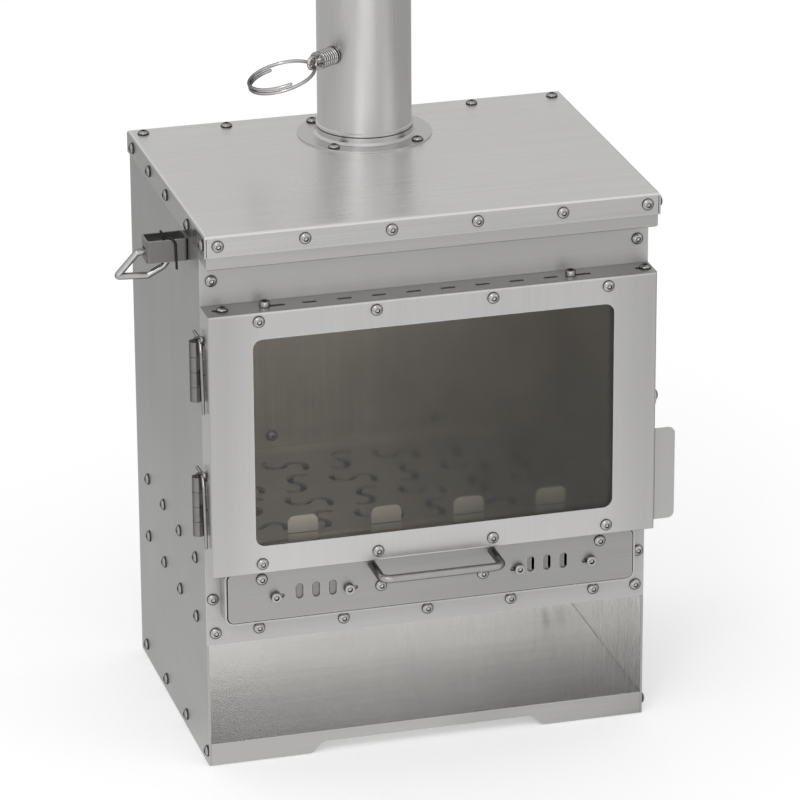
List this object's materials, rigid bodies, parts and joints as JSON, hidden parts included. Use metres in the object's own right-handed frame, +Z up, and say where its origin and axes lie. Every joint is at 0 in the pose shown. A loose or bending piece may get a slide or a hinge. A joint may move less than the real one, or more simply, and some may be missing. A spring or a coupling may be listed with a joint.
{
  "type": "tent wood stove",
  "caption": "Portable sheet-metal wood stove with glazed hinged door, log bay, ash drawer with sliding air intakes, air wash vent, side bail and flue damper pipe.",
  "frame": {"origin": "on the ground under the middle of the stove body, on the plane of the base plate's lower edge", "axes": "+X to the right seen from the front, -Y towards the front (door side), +Z up along the flue"},
  "size_m": [0.4853, 0.3224, 0.6945],
  "materials": {
    "brushed_sheet": "brushed stainless sheet",
    "inner_sheet": "plain stainless sheet, slightly heat darkened",
    "grate_plate": "heat darkened steel plate",
    "window": "clear ceramic glass, brownish tint",
    "gasket_tape": "woven glass fibre tape",
    "rope": "braided glass fibre rope",
    "bracket_sheet": "darker stainless sheet",
    "dark_wire": "dark spring wire",
    "bright_wire": "polished stainless wire",
    "fittings": "satin stainless steel",
    "screws": "plain stainless steel"
  },
  "bodies": {
    "stove": {"side_panel_left": "brushed_sheet", "side_panel_right": "brushed_sheet", "back_panel": "brushed_sheet", "front_plate": "brushed_sheet", "base_plate": "brushed_sheet", "ash_floor": "inner_sheet", "hearth_plate": "inner_sheet", "fire_grate": "grate_plate", "rear_liner": "inner_sheet", "smoke_baffle": "inner_sheet", "baffle_rests": "inner_sheet", "drawer_collar": "brushed_sheet", "drawer_runners": "inner_sheet", "front_hood": "brushed_sheet", "top_cover": "brushed_sheet", "flue_collar": "brushed_sheet", "flue_pipe": "brushed_sheet", "body_knuckles": "fittings", "keeper_spring": "fittings", "bracket_left": "bracket_sheet", "bracket_clip": "dark_wire", "cover_screws": "screws", "front_screws": "screws", "side_screws": "screws", "back_screws": "screws", "collar_screws": "screws", "liner_screws": "screws", "bracket_rivets": "screws", "keeper_screws": "screws"},
    "door": {"door_frame": "brushed_sheet", "window_glass": "window", "glass_gasket": "gasket_tape", "glass_retainer": "inner_sheet", "rope_gasket": "rope", "door_screws": "screws", "door_knuckles": "fittings", "hinge_pins": "bright_wire", "latch_screw": "screws"},
    "latch": {"latch_lever": "fittings"},
    "door_vent": {"vent_slide": "inner_sheet", "vent_knobs": "screws"},
    "ash_drawer": {"drawer_tray": "inner_sheet", "drawer_face": "brushed_sheet", "drawer_handle": "bright_wire", "drawer_screws": "screws"},
    "intake_left": {"intake_slide_left": "inner_sheet", "intake_knobs_left": "screws"},
    "intake_right": {"intake_slide_right": "inner_sheet", "intake_knobs_right": "screws"},
    "damper": {"damper_plate": "inner_sheet", "damper_shaft": "bright_wire", "damper_spring": "bright_wire"},
    "damper_ring": {"split_ring": "bright_wire"},
    "bail_left": {"bail_left": "bright_wire"}
  },
  "joints": [
    {"name": "door_hinge", "type": "hinge", "parent": "stove", "child": "door", "pos_m": [-0.2053, -0.1328, 0.311], "axis": [0, 0, 1], "range_deg": [-180, 0]},
    {"name": "latch_turn", "type": "hinge", "parent": "door", "child": "latch", "pos_m": [0.2013, -0.1463, 0.3125], "axis": [1, 0, 0], "range_deg": [-45, 0]},
    {"name": "vent_slide", "type": "slide", "parent": "door", "child": "door_vent", "axis": [1, 0, 0], "range_m": [0, 0.016]},
    {"name": "drawer_slide", "type": "slide", "parent": "stove", "child": "ash_drawer", "axis": [0, -1, 0], "range_m": [0, 0.2]},
    {"name": "intake_left_slide", "type": "slide", "parent": "ash_drawer", "child": "intake_left", "axis": [1, 0, 0], "range_m": [0, 0.006]},
    {"name": "intake_right_slide", "type": "slide", "parent": "ash_drawer", "child": "intake_right", "axis": [1, 0, 0], "range_m": [-0.006, 0]},
    {"name": "damper_turn", "type": "hinge", "parent": "stove", "child": "damper", "pos_m": [0, 0.0685, 0.5865], "axis": [-0.8192, -0.5736, 0], "range_deg": [0, 90]},
    {"name": "ring_swing", "type": "hinge", "parent": "damper", "child": "damper_ring", "pos_m": [-0.05726, 0.02841, 0.5847], "axis": [-0.0872, 0.9962, 0], "range_deg": [-70, 20]},
    {"name": "bail_left_swing", "type": "hinge", "parent": "stove", "child": "bail_left", "pos_m": [-0.228, -0.081, 0.4695], "axis": [1, 0, 0], "range_deg": [-20, 20]}
  ]
}
